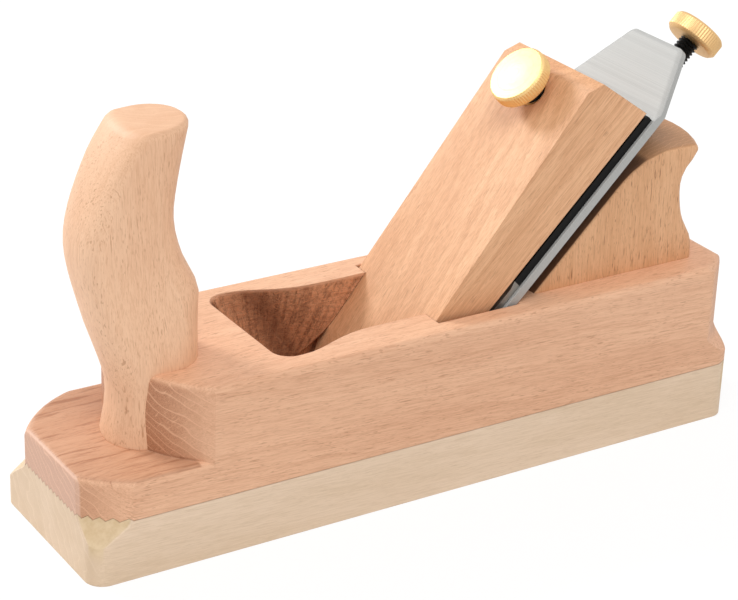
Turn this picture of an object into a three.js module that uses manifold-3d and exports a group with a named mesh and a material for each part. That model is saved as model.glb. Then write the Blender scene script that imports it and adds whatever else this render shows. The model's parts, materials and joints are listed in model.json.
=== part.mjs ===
// Horned wooden smoothing plane: beech stock on a toothed hornbeam sole, double iron
// bedded at 45 degrees, wedge-shaped lever cap with a clamp screw, and a screw adjuster.
// Frame, in mm: +X to the toe, +Y to the left side, +Z up, origin under the middle of the sole.

import * as THREE from 'three';
import { mergeVertices } from 'three/addons/utils/BufferGeometryUtils.js';
import Module from 'manifold-3d';

const wasm = await Module();
wasm.setup();

// ---------------------------------------------------------------- driving dimensions

// Stock and sole
const stockLength = 240;
const stockWidth = 64;
const soleThickness = 20;
const stockHeight = 57;
const deckHeight = 32.5;
const soleCornerRadius = 6;
const edgeRound = 2;
const heelRound = 5;
const toothPitch = 2.5;
const toothHeight = 1.2;
const glueGap = 0.05;

// Step between the toe deck and the raised body, an upright arc in plan
const stepRadius = 38;
const stepSetback = 23;

// Corner cuts: how far each runs along the side and along the end; convex arcs in plan
const toeLeftCut = { along: 13.7, across: 11 };
const toeRightCut = { along: 20, across: 17 };
const heelCut = { along: 12, across: 11.5 };
const cutRadius = 42;
const toeCutFoot = 21;
const heelCutFoot = 32;
const cutRound = 3;
const cutCoveRadius = 6;
const cutCoveSlope = 40;

// Bed, throat and mouth
const bedAngle = 45;
const mouthPosition = 27;
const mouthGap = 1.8;
const throatWallThickness = 7;
const throatWidth = stockWidth - 2 * throatWallThickness;
const pocketSlope = 55;
const pocketFloor = 22.4;
const pocketNoseWidth = 7;
const pocketCornerRadius = 6.2;
const pocketStraight = 2;
const pocketFlare = 29;
const pocketShift = -0.8;

// Iron and chip breaker, measured up the bed from the mouth
const ironThickness = 3;
const ironSideGap = 1;
const ironWidth = throatWidth - 2 * ironSideGap;
const ironLength = 182;
const ironTaperLength = 22.5;
const ironTopWidth = 26;
const ironCornerRadius = 2;
const ironChamfer = 1.8;
const ironBevelAngle = 25;
const edgeLift = 0.35;
const ironSlotWidth = 9.6;
const ironSlotStart = 52;
const breakerScrewDistance = 105.6;
const ironSlotPastScrew = 10.4;
const ironSlotEnd = breakerScrewDistance + ironSlotPastScrew;
const screwPassRadius = 8.8;
const breakerThickness = 3;
const breakerWidth = ironWidth - 2;
const breakerSetback = 26;
const breakerLength = ironLength - breakerSetback;
const breakerTipDistance = 1.2;
const breakerGroundLength = 88;
const breakerGroundThickness = 2.2;
const breakerRampLength = 3;
const breakerHump = 0.5;
const breakerHumpLength = 16;
const breakerChamfer = 1;

// Lever cap: a wedge between the irons and the abutments
const wedgeAngle = 6.36;
const capSideGap = 1.9;
const capWidth = throatWidth - 2 * capSideGap;
const capSetback = 29.6;
const capEnd = ironLength - capSetback;
const capThickness = 24.95;
const capBackGap = 0.8;
const capFoot = 18.6;
const capFootThickness = 0.8;
const capBevelEnd = 40.6;
const capEndLean = 10;
const capChamfer = { along: 5.6, deep: 3.4 };

// Clamp screw of the lever cap
const clampSetback = 13;
const clampDistance = capEnd - clampSetback;
const clampScrewDiameter = 8;
const clampTipDiameter = 5.6;
const clampTipLength = 3;
const clampKnobDiameter = 20.5;
const clampKnobThickness = 6;
const clampKnobStandoff = 4.6;
const clampFootDiameter = 14;
const clampFootThickness = 4;
const clampFootRoom = 4;
const clampTravel = 5;
const insertDiameter = 10;
const knobChamfer = 1;
const smallChamfer = 0.7;

// Breaker screw
const breakerScrewHeadDiameter = 16;
const breakerScrewHeadThickness = 4;
const breakerScrewDiameter = 8;

// Depth adjuster, parallel to the bed and behind the iron
const rodDiameter = 7;
const rodDepth = 12.4;
const rodPastIron = 13.7;
const rodEnd = ironLength + rodPastIron;
const adjusterKnobDiameter = 18.8;
const adjusterKnobThickness = 6.7;
const pivotDistance = 68.6;
const pivotDiameter = 15;
const pivotLength = 18.5;
const pivotHeadDepth = 7.5;
const bushWall = 2.5;
const collarDiameter = 10.4;
const collarThickness = 4;
const carriageLength = 23;
const carriageWidth = 14;
const carriageFloorDepth = 16.8;
const carriageLipDepth = 4;
const rodGrooveWidth = 16.6;
const rodGrooveDepth = 18;
const rodGrooveMargin = 3;
const headGrooveWidth = 19;
const headGrooveDepth = 8;

// Heel block behind the iron: its back is an upright arc in plan, waisted below its nose
const heelBlockWidth = 42;
const heelBlockSetback = 7.8;
const heelBlockTopLength = 28.7;
const heelBlockRecess = 6;
const heelBlockRadius = 38;
const heelBlockWaist = 5.2;
const heelBlockNose = 2.5;
const heelBlockCrown = { drop: 10, run: 12.6 };
const heelBlockRound = 1.2;
const dowelDiameter = 8;
const dowelDepth = 11.5;
const dowelWall = 3;

// Horn
const hornWidth = 26;
const hornSetback = 19.5;
const hornDepth = 29.8;
const hornTongue = 16.5;
const hornHeight = 74.7;
const hornReach = 9.7;
const hornTopSlope = -3.35;
const hornNose = 4.75;
const hornFootNose = 11.5;
const hornBackRound = 12.4;
const hornTopRound = 2.2;
const hornDowelLength = 24;

// Clearances
const fitGap = 0.3;
const seatGap = 0.15;

// ---------------------------------------------------------------- derived places

const toe = stockLength / 2;
const heel = -toe;
const side = stockWidth / 2;
const beyond = 5;
const bed = THREE.MathUtils.degToRad(bedAngle);
const wedge = THREE.MathUtils.degToRad(wedgeAngle);

const capBack = breakerThickness + capBackGap;
const capFront = (up) => capBack + capThickness - Math.tan(wedge) * (capEnd - up);

// The frame of the iron: x runs up the bed, z stands on the iron's front face.
const ironFrame = new THREE.Matrix4()
  .makeRotationFromEuler(new THREE.Euler(0, bed, Math.PI))
  .setPosition(mouthPosition, 0, 0);

// Where a plane parallel to the iron's front face, at a height off it, stands at level z
const onBed = (height, z) => mouthPosition + (height - z * Math.cos(bed)) / Math.sin(bed);
const bedSurface = -(ironThickness + seatGap);

// Where the abutment, parallel to the lever cap's front face, stands at level z
const abutmentFoot = new THREE.Vector3(0, 0, capFront(0)).applyMatrix4(ironFrame);
const onAbutment = (z) => abutmentFoot.x + fitGap - (z - abutmentFoot.z) / Math.tan(bed + wedge);

// ---------------------------------------------------------------- geometry helpers

const ROUND = 40;

function outline(points) {
  return new THREE.Shape(points.map(([a, b]) => new THREE.Vector2(a, b)));
}

function rectangle(x0, x1, y0, y1) {
  return outline([[x0, y0], [x1, y0], [x1, y1], [x0, y1]]);
}

function circle(x, y, radius) {
  return new THREE.Shape().absarc(x, y, radius, 0, 2 * Math.PI);
}

// Extrudes a YZ outline along X, an XZ outline along Y, or an XY outline along Z.
function extrude(shape, along, from, to, options = {}) {
  const settings = { depth: to - from, bevelEnabled: false, curveSegments: ROUND / 2, ...options };
  const points = shape.getPoints(settings.curveSegments);
  const apart = points.filter((point, i) => point.distanceTo(points.at(i - 1)) > 1e-3);
  const geometry = new THREE.ExtrudeGeometry(new THREE.Shape(apart), settings);
  const x = new THREE.Vector3(1, 0, 0);
  const y = new THREE.Vector3(0, 1, 0);
  const z = new THREE.Vector3(0, 0, 1);
  const turn = new THREE.Matrix4();
  if (along === 'X') turn.makeBasis(y, z, x);
  if (along === 'Y') turn.makeBasis(x, z, y.clone().negate());
  geometry.translate(0, 0, along === 'Y' ? -to : from);
  return geometry.applyMatrix4(turn);
}

// A turned piece on the Z axis, from pairs of radius and height.
function turned(profile, segments = ROUND) {
  const points = profile.map(([radius, height]) => new THREE.Vector2(radius, height));
  return new THREE.LatheGeometry(points, segments).rotateX(Math.PI / 2);
}

// Skins closed rings of equal count, and closes both ends with a fan.
function loft(rings) {
  const count = rings[0].length;
  const positions = rings.flat();
  const index = [];
  for (let ring = 0; ring < rings.length - 1; ring += 1) {
    for (let i = 0; i < count; i += 1) {
      const a = ring * count + i;
      const b = ring * count + ((i + 1) % count);
      index.push(a, b, b + count, a, b + count, a + count);
    }
  }
  const last = (rings.length - 1) * count;
  for (let i = 1; i < count - 1; i += 1) {
    index.push(0, i + 1, i);
    index.push(last, last + i, last + i + 1);
  }
  const geometry = new THREE.BufferGeometry().setFromPoints(positions);
  geometry.setIndex(index);
  return geometry;
}

// Turns a closed geometry into a solid that can be joined and cut.
function solid(geometry) {
  const bare = new THREE.BufferGeometry();
  bare.setAttribute('position', geometry.getAttribute('position'));
  bare.setIndex(geometry.getIndex());
  const merged = mergeVertices(bare, 1e-4);
  const vertProperties = new Float32Array(merged.getAttribute('position').array);
  const triVerts = new Uint32Array(merged.getIndex().array);
  return new wasm.Manifold(new wasm.Mesh({ numProp: 3, vertProperties, triVerts }));
}

function geometryOf(body) {
  const mesh = body.getMesh();
  const geometry = new THREE.BufferGeometry();
  geometry.setAttribute('position', new THREE.BufferAttribute(mesh.vertProperties, 3));
  geometry.setIndex(new THREE.BufferAttribute(mesh.triVerts, 1));
  geometry.computeVertexNormals();
  return geometry;
}

const finishes = {
  beech: { color: 0xd9a27c, roughness: 0.6, metalness: 0 },
  hornbeam: { color: 0xe3c9a0, roughness: 0.6, metalness: 0 },
  steel: { color: 0xbfc1c2, roughness: 0.35, metalness: 1 },
  blackSteel: { color: 0x1b1b1c, roughness: 0.45, metalness: 0.8 },
  brass: { color: 0xe0b877, roughness: 0.3, metalness: 1 },
};

function piece(name, shape, finish) {
  const geometry = shape.isBufferGeometry ? shape : geometryOf(shape);
  const mesh = new THREE.Mesh(geometry, new THREE.MeshStandardMaterial(finishes[finish]));
  mesh.name = name;
  return mesh;
}

// ---------------------------------------------------------------- throat

// The slot that takes the irons and the lever cap, from the bed to the abutment
function ironSlotCut() {
  const half = throatWidth / 2;
  const top = stockHeight + beyond;
  const mouthFront = mouthPosition + mouthGap;
  const meet = abutmentFoot.z - (mouthFront - abutmentFoot.x - fitGap) * Math.tan(bed + wedge);
  const rear = outline([
    [onBed(bedSurface, top), top],
    [onBed(bedSurface, -beyond), -beyond],
    [mouthFront, -beyond],
    [mouthFront, meet],
    [onAbutment(top), top],
  ]);
  const shaft = outline([
    [onBed(bedSurface, pocketFloor), pocketFloor],
    [onBed(bedSurface, -beyond), -beyond],
    [mouthFront, -beyond],
    [mouthFront, pocketFloor],
  ]);
  return solid(extrude(rear, 'Y', -half, half)).add(solid(extrude(shaft, 'Y', -half, half)));
}

// The flared pocket in front of the cap. Its outline at the stock's top slides to the heel
// with depth, so the front wall slopes and the cheeks' noses lean over the pocket.
function pocketCut() {
  const half = throatWidth / 2;
  const neck = half - pocketNoseWidth;
  const slide = 1 / Math.tan(THREE.MathUtils.degToRad(pocketSlope));
  const front = mouthPosition + mouthGap + slide * (stockHeight - pocketFloor);
  const wide = front - pocketCornerRadius - pocketStraight;
  const narrow = wide - pocketFlare;
  const r = pocketCornerRadius;
  const widePull = wide - 0.3 * pocketFlare;
  const narrowPull = narrow + 0.5 * pocketFlare;
  const shape = new THREE.Shape();
  shape.moveTo(heel, -neck);
  shape.lineTo(narrow, -neck);
  shape.bezierCurveTo(narrowPull, -neck, widePull, -half, wide, -half);
  shape.lineTo(front - r, -half);
  shape.absarc(front - r, r - half, r, -Math.PI / 2, 0);
  shape.lineTo(front, half - r);
  shape.absarc(front - r, half - r, r, 0, Math.PI / 2);
  shape.lineTo(wide, half);
  shape.bezierCurveTo(widePull, half, narrowPull, neck, narrow, neck);
  shape.lineTo(heel, neck);
  const geometry = extrude(shape, 'Z', pocketFloor, stockHeight + beyond, { curveSegments: 8 });
  const shear = new THREE.Matrix4().makeShear(0, 0, 0, 0, slide, 0);
  geometry.applyMatrix4(shear).translate(-slide * stockHeight, pocketShift, 0);
  const above = stockHeight + 2 * beyond;
  const behindBed = outline([
    [onBed(bedSurface, above), above],
    [onBed(bedSurface, -beyond), -beyond],
    [2 * heel, -beyond],
    [2 * heel, above],
  ]);
  return solid(geometry).subtract(solid(extrude(behindBed, 'Y', -stockWidth, stockWidth)));
}

// ---------------------------------------------------------------- adjuster's recesses

const pivotFoot = -(pivotHeadDepth + pivotLength);
const bushRadius = pivotDiameter / 2 + fitGap + bushWall;
const grooveStart = pivotDistance - pivotDiameter / 2 - collarThickness - rodGrooveMargin;

// Groove for the rod and the screw head, and the hole for the pivot's bush
function adjusterCut() {
  const long = ironLength + beyond;
  const deep = rectangle(grooveStart, long, -rodGrooveWidth / 2, rodGrooveWidth / 2);
  const wideStart = breakerScrewDistance - carriageLength / 2 - 2 * beyond;
  const wide = rectangle(wideStart, long, -headGrooveWidth / 2, headGrooveWidth / 2);
  const hole = circle(pivotDistance, 0, bushRadius + seatGap);
  return solid(extrude(deep, 'Z', -rodGrooveDepth, 0))
    .add(solid(extrude(wide, 'Z', -headGrooveDepth, 0)))
    .add(solid(extrude(hole, 'Z', pivotFoot - fitGap, -headGrooveDepth)))
    .transform(ironFrame.toArray());
}

// ---------------------------------------------------------------- stock and sole

// A corner cut: an upright face, an arc in plan, rounded over at the top and running out
// below in a cove
function cornerCut(xSign, ySign, cut, top, foot) {
  const out = new THREE.Vector3(xSign * cut.across, ySign * cut.along, 0);
  const chord = out.length();
  out.normalize();
  const depth = Math.sqrt(cutRadius ** 2 - (chord / 2) ** 2);
  const middle = new THREE.Vector3(
    xSign * (toe - cut.along / 2), ySign * (side - cut.across / 2), 0,
  );
  const slope = THREE.MathUtils.degToRad(cutCoveSlope);
  const face = cutRadius;
  const r = cutCoveRadius;
  const shape = new THREE.Shape();
  shape.moveTo(face - cutRound, top + beyond);
  shape.lineTo(face - cutRound, top);
  shape.absarc(face - cutRound, top - cutRound, cutRound, Math.PI / 2, 0, true);
  shape.lineTo(face, foot);
  shape.absarc(face + r, foot, r, Math.PI, Math.PI + slope, false);
  const hemOut = face + r * (1 - Math.cos(slope)) + chord * Math.sin(slope);
  shape.lineTo(hemOut, foot - r * Math.sin(slope) - chord * Math.cos(slope));
  shape.lineTo(hemOut, top + beyond);
  shape.closePath();
  const profile = shape.getPoints(4).map((point) => point.toArray());
  const ring = turned(profile, 2 * ROUND).translate(...middle.clone().addScaledVector(out, -depth));
  const reach = cutRound + 1;
  const near = new THREE.BoxGeometry(2 * chord, 3 * chord, 4 * stockHeight);
  near.translate(chord - reach, 0, 0);
  const up = new THREE.Vector3(0, 0, 1);
  const basis = new THREE.Matrix4().makeBasis(out, new THREE.Vector3().crossVectors(up, out), up);
  return solid(ring).intersect(solid(near.applyMatrix4(basis.setPosition(middle))));
}

function cornerCuts() {
  return cornerCut(1, 1, toeLeftCut, deckHeight, toeCutFoot)
    .add(cornerCut(1, -1, toeRightCut, deckHeight, toeCutFoot))
    .add(cornerCut(-1, 1, heelCut, stockHeight, heelCutFoot))
    .add(cornerCut(-1, -1, heelCut, stockHeight, heelCutFoot));
}

// Everything under the toothed joint, which runs the length of the plane
function underJoint(rise) {
  const teeth = Math.ceil(stockWidth / toothPitch) + 2;
  const half = (teeth * toothPitch) / 2;
  const points = [[half, -beyond], [-half, -beyond]];
  for (let i = 0; i <= 2 * teeth; i += 1) {
    const wave = (i % 2 ? 0.5 : -0.5) * toothHeight;
    points.push([(i * toothPitch) / 2 - half, soleThickness + wave + rise]);
  }
  return solid(extrude(outline(points), 'X', 2 * heel, 2 * toe));
}

// The block's plan, with the sole's round corners
function blockPlan(x0, x1) {
  const r = soleCornerRadius;
  const shape = new THREE.Shape();
  shape.absarc(x0 + r, r - side, r, Math.PI, 1.5 * Math.PI);
  shape.absarc(x1 - r, r - side, r, -Math.PI / 2, 0);
  shape.absarc(x1 - r, side - r, r, 0, Math.PI / 2);
  shape.absarc(x0 + r, side - r, r, Math.PI / 2, Math.PI);
  return shape;
}

function raisedPlan() {
  const r = soleCornerRadius;
  const centre = toe - stepSetback - stepRadius;
  const spread = Math.asin(side / stepRadius);
  const shape = new THREE.Shape();
  shape.absarc(heel + r, r - side, r, Math.PI, 1.5 * Math.PI);
  shape.absarc(centre, 0, stepRadius, -spread, spread);
  shape.absarc(heel + r, side - r, r, Math.PI / 2, Math.PI);
  return shape;
}

// A slab with its upper edge rounded; its lower edge lies under the joint.
function roundedSlab(shape, top) {
  const bevel = {
    bevelEnabled: true,
    bevelThickness: edgeRound,
    bevelSize: edgeRound,
    bevelOffset: -edgeRound,
    bevelSegments: 3,
    curveSegments: 12,
  };
  return solid(extrude(shape, 'Z', edgeRound, top - edgeRound, bevel));
}

// Rounds the upper edge of the heel end
function heelRoundCut() {
  const r = heelRound;
  const shape = new THREE.Shape();
  shape.moveTo(heel - beyond, stockHeight + beyond);
  shape.lineTo(heel - beyond, stockHeight - r);
  shape.lineTo(heel, stockHeight - r);
  shape.absarc(heel + r, stockHeight - r, r, Math.PI, Math.PI / 2, true);
  shape.lineTo(heel + r, stockHeight + beyond);
  return solid(extrude(shape, 'Y', -stockWidth, stockWidth, { curveSegments: 5 }));
}

function stock() {
  const deck = roundedSlab(blockPlan(0, toe), deckHeight);
  return roundedSlab(raisedPlan(), stockHeight)
    .add(deck)
    .subtract(heelRoundCut())
    .subtract(underJoint(glueGap))
    .subtract(cornerCuts())
    .subtract(ironSlotCut())
    .subtract(pocketCut())
    .subtract(adjusterCut())
    .subtract(hornSolid(glueGap))
    .subtract(heelDowels(seatGap)[0])
    .subtract(heelDowels(seatGap)[1])
    .subtract(hornDowel(seatGap));
}

function sole() {
  return solid(extrude(blockPlan(heel, toe), 'Z', 0, stockHeight, { curveSegments: 10 }))
    .intersect(underJoint(0))
    .subtract(cornerCuts())
    .subtract(ironSlotCut());
}

// ---------------------------------------------------------------- horn

// A smooth curve through pairs, read as the second at a value of the first
function curveThrough(pairs) {
  const spline = new THREE.SplineCurve(pairs.map(([a, b]) => new THREE.Vector2(a, b)));
  const points = spline.getPoints(12 * pairs.length);
  return (at) => {
    let i = 1;
    while (i < points.length - 1 && points[i].x < at) i += 1;
    const a = points[i - 1];
    const b = points[i];
    return a.y + ((b.y - a.y) * (at - a.x)) / (b.x - a.x);
  };
}

// The horn's front and back seen from the side, as shares: of the horn's height over the
// stock's top, and of its reach forward of its foot
const hornFront = curveThrough([
  [-0.33, 0], [-0.107, -0.199], [0.21, 0.523], [0.523, 0.959], [0.826, 0.216], [1.03, -0.823],
]);
const hornBack = curveThrough([
  [-0.54, 0], [0.134, 0], [0.288, -0.018], [0.442, 0.538], [0.603, 0.803], [0.804, 0.603], [1.126, 0.038],
]);

// Level section of the horn: an elliptic nose, flat sides and a rounded back
function hornSection(front, back, half, nose, round) {
  const points = [];
  for (let i = 0; i <= 18; i += 1) {
    const turn = -Math.PI / 2 + (Math.PI * i) / 18;
    points.push([front - nose + nose * Math.cos(turn), half * Math.sin(turn)]);
  }
  for (const y of [1, -1]) {
    for (let i = 0; i <= 8; i += 1) {
      const turn = (Math.PI / 2) * (y > 0 ? 1 + i / 8 : 2 + i / 8);
      points.push([back + round + round * Math.cos(turn), y * (half - round) + round * Math.sin(turn)]);
    }
  }
  return points;
}

// Reach of one of the horn's curves where a tilted section meets it
function reachAt(curve, foot, lift, height) {
  const level = lift(foot + hornReach * curve(height / hornHeight));
  return hornReach * curve(level / hornHeight);
}

function hornSolid(grow) {
  const footFront = toe - hornSetback;
  const footBack = footFront - hornDepth;
  const half = hornWidth / 2 + grow;
  const middle = footFront - hornDepth / 2;
  const slope = Math.tan(THREE.MathUtils.degToRad(hornTopSlope));
  const rings = [];
  const ring = (height, inset) => {
    const tilt = THREE.MathUtils.smoothstep(height, hornHeight / 3, hornHeight) * slope;
    const lift = (x) => height + tilt * (x - middle);
    const front = footFront + grow - inset + reachAt(hornFront, footFront, lift, height);
    const back = footBack - grow + inset + reachAt(hornBack, footBack, lift, height);
    const slim = THREE.MathUtils.smoothstep(height, foot, hornHeight / 3);
    const nose = THREE.MathUtils.lerp(hornFootNose, hornNose, slim) - inset;
    const section = hornSection(front, back, half - inset, nose, hornBackRound - inset);
    rings.push(section.map(([x, y]) => new THREE.Vector3(x, y, stockHeight + lift(x))));
  };
  const foot = deckHeight - stockHeight;
  const levels = 25;
  for (let i = 0; i < levels; i += 1) {
    ring(foot + ((hornHeight - hornTopRound - foot) * i) / (levels - 1), 0);
  }
  for (let i = 1; i <= 4; i += 1) {
    const turn = (Math.PI / 8) * i;
    ring(hornHeight - hornTopRound * (1 - Math.sin(turn)), hornTopRound * (1 - Math.cos(turn)));
  }
  const tongueBack = footFront - hornTongue - grow;
  const shoulder = rectangle(heel, tongueBack, 0, stockHeight);
  return solid(loft(rings)).subtract(solid(extrude(shoulder, 'Y', -stockWidth, stockWidth)));
}

// ---------------------------------------------------------------- dowels

function dowelRod(radius, from, to, along, at) {
  return solid(extrude(circle(at[0], at[1], radius), along, from, to, { curveSegments: 12 }));
}

// Two upright dowels between the stock and the heel block
function heelDowels(grow) {
  const wall = dowelWall + dowelDiameter / 2;
  const rear = heel + heelBlockSetback + heelBlockWaist + wall;
  const front = onBed(-rodGrooveDepth, stockHeight + dowelDepth) - wall;
  const radius = dowelDiameter / 2 + grow;
  const from = stockHeight - dowelDepth - grow;
  const to = stockHeight + dowelDepth + grow;
  return [rear, front].map((x) => dowelRod(radius, from, to, 'Z', [x, 0]));
}

// A level dowel between the horn's tongue and the stock
function hornDowel(grow) {
  const middle = toe - hornSetback - hornTongue;
  const height = (deckHeight + stockHeight) / 2;
  const half = hornDowelLength / 2 + grow;
  return dowelRod(dowelDiameter / 2 + grow, middle - half, middle + half, 'X', [0, height]);
}

// ---------------------------------------------------------------- heel block

// How far the back is drawn in, as a share of the waist, at a share of the block's rise
const heelBlockBack = curveThrough([
  [-0.2, 0], [0, -0.08], [0.17, 0], [0.38, 0.73], [0.63, 1], [0.78, 0.79], [0.9, 0.13],
  [0.95, 0], [1.1, 0],
]);

function heelBlock() {
  const back = heel + heelBlockSetback;
  const axis = back + heelBlockRadius;
  const recess = -(ironThickness + heelBlockRecess);
  const frontTop = back + heelBlockTopLength;
  const top = (mouthPosition - frontTop) * Math.tan(bed) + recess / Math.cos(bed);
  const rise = top - stockHeight;
  const crown = heelBlockCrown;
  // Quarter round of a given radius up to the top, as the draw-in at a level
  const rounding = (radius, z) => {
    const over = THREE.MathUtils.clamp(z - (top - radius), 0, radius);
    return radius - Math.sqrt(radius ** 2 - over ** 2);
  };
  const front = (z) => {
    if (z < top - crown.drop) return onBed(recess, z);
    const t = 1 - Math.sqrt(Math.max(0, top - z) / crown.drop);
    const start = onBed(recess, top - crown.drop) * (1 - t) ** 2;
    return start + frontTop * 2 * t * (1 - t) + (frontTop - crown.run) * t ** 2;
  };
  const ring = (z) => {
    const half = heelBlockWidth / 2 - rounding(heelBlockRound, z);
    const drawn = heelBlockWaist * heelBlockBack((z - stockHeight) / rise);
    const radius = heelBlockRadius - drawn - rounding(heelBlockNose, z);
    const r = heelBlockRound;
    const turn = Math.asin((half - r) / radius);
    const corner = axis - Math.sqrt(radius ** 2 - half ** 2);
    const shape = new THREE.Shape();
    shape.moveTo(front(z), r - half);
    shape.lineTo(front(z), half - r);
    shape.quadraticCurveTo(front(z), half, front(z) - r, half);
    shape.lineTo(corner + r, half);
    const arcEnd = [axis - radius * Math.cos(turn), half - r];
    shape.quadraticCurveTo(corner, half, ...arcEnd);
    shape.absarc(axis, 0, radius, Math.PI - turn, Math.PI + turn, false);
    shape.quadraticCurveTo(corner, -half, corner + r, -half);
    shape.lineTo(front(z) - r, -half);
    shape.quadraticCurveTo(front(z), -half, front(z), r - half);
    return shape.getPoints(4).slice(0, -1).map(({ x, y }) => new THREE.Vector3(x, y, z));
  };
  const rings = [];
  const levels = 14;
  for (let i = 0; i < levels; i += 1) {
    rings.push(ring(stockHeight + ((rise - heelBlockNose) * i) / levels));
  }
  for (let i = 0; i <= 5; i += 1) {
    rings.push(ring(top - heelBlockNose * (1 - Math.sin((Math.PI / 10) * i))));
  }
  return solid(loft(rings))
    .subtract(adjusterCut())
    .subtract(heelDowels(seatGap)[0])
    .subtract(heelDowels(seatGap)[1]);
}

// ---------------------------------------------------------------- irons, in the iron's frame

// The iron: tapered top with chamfered front edges, slot for the screw, bevel on the back
function iron() {
  const bevel = ironThickness / Math.tan(THREE.MathUtils.degToRad(ironBevelAngle));
  const profile = outline([
    [edgeLift, 0],
    [edgeLift + bevel, -ironThickness],
    [ironLength, -ironThickness],
    [ironLength, 0],
  ]);
  const full = ironWidth / 2 + ironChamfer;
  const shoulder = ironLength - ironTaperLength;
  const narrow = ironTopWidth / 2;
  const slant = (ironWidth / 2 - narrow) / ironTaperLength;
  const slantStart = shoulder - ironChamfer / slant;
  const r = ironCornerRadius;
  const face = new THREE.Shape();
  face.moveTo(-beyond, -full);
  face.lineTo(slantStart, -full);
  face.lineTo(ironLength - r, -narrow - r * slant);
  face.quadraticCurveTo(ironLength, -narrow, ironLength, r - narrow);
  face.lineTo(ironLength, narrow - r);
  face.quadraticCurveTo(ironLength, narrow, ironLength - r, narrow + r * slant);
  face.lineTo(slantStart, full);
  face.lineTo(-beyond, full);
  const chamfer = {
    bevelEnabled: true,
    bevelThickness: ironChamfer / 2,
    bevelSize: ironChamfer,
    bevelOffset: -ironChamfer,
    bevelSegments: 1,
    curveSegments: 6,
  };
  const blank = extrude(face, 'Z', -ironThickness - beyond, -ironChamfer / 2, chamfer);
  const slotHalf = ironSlotWidth / 2;
  const slot = rectangle(ironSlotStart, ironSlotEnd, -slotHalf, slotHalf);
  const across = [-ironThickness - beyond, beyond];
  return solid(extrude(profile, 'Y', -ironWidth / 2, ironWidth / 2))
    .intersect(solid(blank))
    .subtract(solid(extrude(slot, 'Z', ...across)))
    .subtract(solid(extrude(circle(ironSlotEnd, 0, slotHalf), 'Z', ...across)))
    .subtract(solid(extrude(circle(ironSlotStart, 0, screwPassRadius), 'Z', ...across)));
}

// The chip breaker: full thickness above, ground thinner below, humped to a fine tip
function chipBreaker() {
  const tip = breakerTipDistance + edgeLift;
  const shape = new THREE.Shape();
  const crest = breakerGroundThickness + breakerHump;
  const hump = breakerHumpLength;
  shape.moveTo(tip, seatGap);
  shape.quadraticCurveTo(tip + hump / 5, crest, tip + hump / 2, crest);
  shape.lineTo(tip + hump, breakerGroundThickness);
  shape.lineTo(breakerGroundLength - breakerRampLength, breakerGroundThickness);
  shape.lineTo(breakerGroundLength, breakerThickness);
  shape.lineTo(breakerLength - breakerChamfer, breakerThickness);
  shape.lineTo(breakerLength, breakerThickness - breakerChamfer);
  shape.lineTo(breakerLength, seatGap);
  const hole = circle(breakerScrewDistance, 0, breakerScrewDiameter / 2 + seatGap);
  return solid(extrude(shape, 'Y', -breakerWidth / 2, breakerWidth / 2, { curveSegments: 6 }))
    .subtract(solid(extrude(hole, 'Z', -beyond, beyond, { curveSegments: 12 })));
}

// Cheese-head screw from behind the iron into the chip breaker
function breakerScrew() {
  const head = breakerScrewHeadDiameter / 2;
  const under = -ironThickness - seatGap;
  const low = under - breakerScrewHeadThickness;
  const shank = breakerScrewDiameter / 2;
  return turned([
    [0, low],
    [head - smallChamfer, low],
    [head, low + smallChamfer],
    [head, under],
    [shank, under],
    [shank, breakerThickness - smallChamfer],
    [shank - smallChamfer, breakerThickness],
    [0, breakerThickness],
  ]).translate(breakerScrewDistance, 0, 0);
}

// ---------------------------------------------------------------- lever cap and clamp

const insertBottom = capBack + clampFootThickness + clampTravel + clampFootRoom;
const knobSeat = capFront(clampDistance) + clampKnobStandoff;

// The wedge block: a leaning upper end, chamfered in front, and a counterbore for the foot
function leverCap() {
  const endFront = capFront(capEnd) - capChamfer.deep;
  const lean = Math.tan(THREE.MathUtils.degToRad(capEndLean));
  const profile = outline([
    [capFoot, capBack],
    [capEnd + lean * (endFront - capBack), capBack],
    [capEnd, endFront],
    [capEnd - capChamfer.along, capFront(capEnd - capChamfer.along)],
    [capBevelEnd, capFront(capBevelEnd)],
    [capFoot, capBack + capFootThickness],
  ]);
  const half = capWidth / 2;
  const footHole = circle(clampDistance, 0, clampFootDiameter / 2 + 1);
  const insertHole = circle(clampDistance, 0, insertDiameter / 2 + seatGap);
  return solid(extrude(profile, 'Y', -half, half))
    .subtract(solid(extrude(footHole, 'Z', 0, insertBottom)))
    .subtract(solid(extrude(insertHole, 'Z', 0, 2 * capThickness)));
}

// Threaded bush in the lever cap, a little below the wood's face
function capInsert() {
  const outer = insertDiameter / 2;
  const inner = clampScrewDiameter / 2 + seatGap;
  const top = capFront(clampDistance - outer) - seatGap;
  return turned([
    [inner, insertBottom],
    [outer, insertBottom],
    [outer, top],
    [inner, top],
    [inner, insertBottom],
  ]).translate(clampDistance, 0, 0);
}

const footSeat = breakerThickness + fitGap;

function clampScrew() {
  const r = clampScrewDiameter / 2;
  const tip = clampTipDiameter / 2;
  const low = footSeat + clampFootThickness / 2;
  const top = knobSeat + clampKnobThickness / 2;
  return turned([
    [0, low],
    [tip, low],
    [tip, low + clampTipLength],
    [r, low + clampTipLength + r - tip],
    [r, top],
    [0, top],
  ]).translate(clampDistance, 0, 0);
}

// The foot that presses on the chip breaker and swivels on the screw's tip
function clampFoot() {
  const outer = clampFootDiameter / 2;
  const socket = clampTipDiameter / 2 + seatGap;
  const floor = footSeat + clampFootThickness / 2 - seatGap;
  return turned([
    [0, footSeat],
    [outer - smallChamfer, footSeat],
    [outer, footSeat + smallChamfer],
    [outer, footSeat + clampFootThickness - smallChamfer],
    [outer - smallChamfer, footSeat + clampFootThickness],
    [socket, footSeat + clampFootThickness],
    [socket, floor],
    [0, floor],
  ]).translate(clampDistance, 0, 0);
}

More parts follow.
